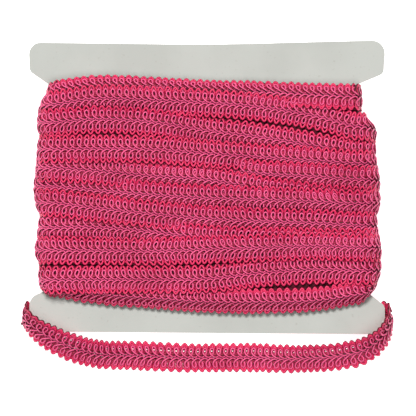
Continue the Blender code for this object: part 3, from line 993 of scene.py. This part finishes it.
def inner_guide(end, level):
    """The middle line of a buried turn at the top (1) or the bottom (-1) of the roll."""
    last = (front_lines[0], TOP_FOLD) if end > 0 else (front_lines[-1], BOTTOM_FOLD)
    y_flat = last[0] + end * (fold_at(FRONT_X, last[1])[0] - HALF - EDGE_INSET)
    angles = np.linspace(math.pi / 2, -math.pi / 2, SIDE_STEPS)[1:-1]
    out = np.cos(angles) ** SQUARENESS
    height = level * np.sign(angles) * np.abs(np.sin(angles)) ** SQUARENESS

    def side(right):
        """The part of the line round one side of the card, from front to back."""
        slot, y = (SLOT_RIGHT, y_flat[-1]) if right else (SLOT_LEFT, y_flat[0])
        profile = np.array(RIGHT_SIDE if right else LEFT_SIDE)
        limit = (NOTCH_RIGHT if right else NOTCH_LEFT)[0 if end > 0 else 1] - end * HALF
        held = min(y, limit) if end > 0 else max(y, limit)
        y = y + (held - y) * out**NOTCH_GRIP
        reach = np.interp(y + end * HALF, profile[:, 0], profile[:, 1]) - SIDE_LIFT
        x = slot + (1 if right else -1) * reach * level / FIELD * out
        return np.column_stack((x, y, height))

    front = np.column_stack((FRONT_X, y_flat, np.full(len(FRONT_X), level)))
    back = (front * (1, 1, -1))[::-1]
    left = side(False)[::-1]
    return np.vstack((left, front, side(True), back, left[:OVERLAP_STEPS]))


for end, name in ((1, "upper"), (-1, "lower")):
    for number, level in enumerate(EDGE_LEVELS):
        middle = inner_guide(end, level)
        up = np.tile((0.0, 1.0, 0.0), (len(middle), 1))
        made = lay_braid(
            f"{name}_edge_{number + 1}", middle - ORIGIN, up, -up, 40 + number,
            (f"{name.capitalize()} edge",),
        )
        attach(made, "root")

core = make_core()
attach(core, "root")
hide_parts("wound_braid")

# The loose turn.
# The same braid where it has come off the roll: it comes round the left edge of the
# card, lies on the table below it and goes back round the right edge.
# Each station gives the inner and the outer edge in plan and the height of the middle.
# What the plan lacks of the braid's width is its slope.
Station = namedtuple("Station", "in_x in_y out_x out_y z")
LOOSE = (
    Station(-42.0, -40.0, -42.0, -53.1, -2.4),
    Station(-58.0, -40.0, -58.0, -53.1, -2.5),
    Station(-69.0, -40.1, -69.2, -53.2, -3.3),
    Station(-75.6, -40.0, -76.4, -52.0, -5.7),
    Station(-78.2, -40.1, -78.9, -50.9, -4.1),
    Station(-78.6, -40.6, -79.3, -50.8, -1.2),
    Station(-78.2, -42.9, -79.4, -51.5, 1.2),
    Station(-75.5, -45.6, -78.4, -53.5, 2.8),
    Station(-72.2, -47.8, -76.6, -55.8, 3.6),
    Station(-68.0, -49.9, -73.4, -58.9, 4.0),
    Station(-62.0, -52.3, -67.1, -63.1, 3.7),
    Station(-54.2, -55.1, -58.5, -67.0, 2.2),
    Station(-45.2, -57.0, -47.8, -69.5, -1.0),
    Station(-32.9, -57.2, -33.6, -70.3, -5.2),
    Station(-20.8, -57.8, -21.1, -70.9, -8.2),
    Station(-9.2, -58.3, -9.4, -71.4, -9.3),
    Station(9.4, -58.2, 9.4, -71.3, -9.3),
    Station(21.6, -58.3, 21.9, -71.3, -8.9),
    Station(33.5, -58.9, 34.4, -71.7, -6.8),
    Station(44.0, -59.0, 45.6, -71.1, -3.4),
    Station(54.6, -58.1, 57.1, -70.3, 0.0),
    Station(62.3, -56.8, 66.2, -68.4, 2.5),
    Station(69.0, -54.4, 73.9, -63.4, 3.8),
    Station(72.8, -52.0, 77.0, -59.8, 3.5),
    Station(75.2, -49.6, 78.6, -57.0, 2.7),
    Station(76.6, -47.0, 79.2, -54.0, 1.5),
    Station(77.7, -44.0, 79.4, -51.4, -0.1),
    Station(78.0, -41.4, 78.9, -50.6, -2.5),
    Station(77.3, -40.2, 77.9, -50.6, -4.9),
    Station(73.2, -40.2, 73.8, -52.6, -5.3),
    Station(66.5, -40.9, 66.6, -53.9, -3.6),
    Station(57.0, -41.2, 57.0, -54.3, -2.5),
    Station(42.0, -41.4, 42.0, -54.5, -2.4),
)


def loose_guide():
    """The loose turn's middle line and its two edges, in even steps."""
    table = np.array(LOOSE)
    middle = np.column_stack(((table[:, 0:2] + table[:, 2:4]) / 2, table[:, 4]))
    plan = table[:, 0:2] - table[:, 2:4]
    rise = np.sqrt(np.maximum(BRAID_WIDTH**2 - (plan**2).sum(axis=1), 0))
    across = np.column_stack((plan, rise))
    run = np.concatenate([[0], np.cumsum(np.linalg.norm(np.diff(middle, axis=0), axis=1))])
    at = np.arange(0, run[-1], STEP)
    middle = smooth_through(at, run, middle)
    across = smooth_through(at, run, across)
    return middle, middle + across / 2, middle - across / 2


middle, inner, outer = loose_guide()
ways = direction(middle, inner), direction(middle, outer)
loose_arches = lay_braid("loose_arches", middle - ORIGIN, *ways, 31, ("Arches",))
loose_loops = lay_braid("loose_loops", middle - ORIGIN, *ways, 31, ("Loops",))
loose_filling = lay_braid("loose_filling", middle - ORIGIN, *ways, 31, ("Under", "Closing"))
for made in (loose_arches, loose_loops, loose_filling):
    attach(made, "root")
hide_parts("loose_turn")

# The table and the light.
# A plain white sweep, a large soft light over the roll and white light all round.
floor_data = bpy.data.meshes.new("floor")
TABLE_HALF = 3.0
floor_data.from_pydata(
    [
        (-TABLE_HALF, -TABLE_HALF, 0), (TABLE_HALF, -TABLE_HALF, 0),
        (TABLE_HALF, TABLE_HALF, 0), (-TABLE_HALF, TABLE_HALF, 0),
    ],
    [], [(0, 1, 2, 3)],
)
floor = bpy.data.objects.new("floor", floor_data)
bpy.context.scene.collection.objects.link(floor)
white, tree = new_material("white_paper")
shader = add(
    tree, "ShaderNodeBsdfPrincipled",
    {
        "Base Color": (0.97, 0.97, 0.97, 1), "Roughness": 0.8, "Specular IOR Level": 0.1,
        "Emission Color": (1, 1, 1, 1), "Emission Strength": 0.9,
    },
)
add(tree, "ShaderNodeOutputMaterial", {"Surface": shader.outputs[0]})
floor_data.materials.append(white)

world = bpy.data.worlds.new("studio")
world.use_nodes = True
world.node_tree.nodes["Background"].inputs["Color"].default_value = (1, 1, 1, 1)
world.node_tree.nodes["Background"].inputs["Strength"].default_value = 0.08
bpy.context.scene.world = world
bpy.context.scene.view_settings.view_transform = "Standard"


def soft_light(name, place, size, power):
    """A round area light, turned to the frame's origin."""
    data = bpy.data.lights.new(name, "AREA")
    data.shape = "DISK"
    data.size = size
    data.energy = power
    lamp = bpy.data.objects.new(name, data)
    bpy.context.scene.collection.objects.link(lamp)
    lamp.location = place
    away = -lamp.location
    lamp.rotation_euler = away.to_track_quat("-Z", "Y").to_euler()


soft_light("key", (-0.3, 1.0, 2.8), 0.9, 82)
soft_light("fill", (0.5, -0.9, 2.8), 1.8, 26)

# The camera looks straight down on the card's face, from far enough to flatten it. A
# photo pixel is PIXEL wide at VIEW_LEVEL above the table.
PHOTO_PIXELS = 416
PIXEL = 0.43 * MM
CAMERA_HEIGHT = 4.0
VIEW_LEVEL = 0.014
VIEW_MIDDLE = (0.00093, -0.00025)
SENSOR = 36
lens = bpy.data.cameras.new("photo")
lens.sensor_width = SENSOR
lens.lens = (CAMERA_HEIGHT - VIEW_LEVEL) * SENSOR / (PHOTO_PIXELS * PIXEL)
lens.clip_end = 10
camera = bpy.data.objects.new("photo", lens)
bpy.context.scene.collection.objects.link(camera)
camera.location = (*VIEW_MIDDLE, CAMERA_HEIGHT)
bpy.context.scene.camera = camera
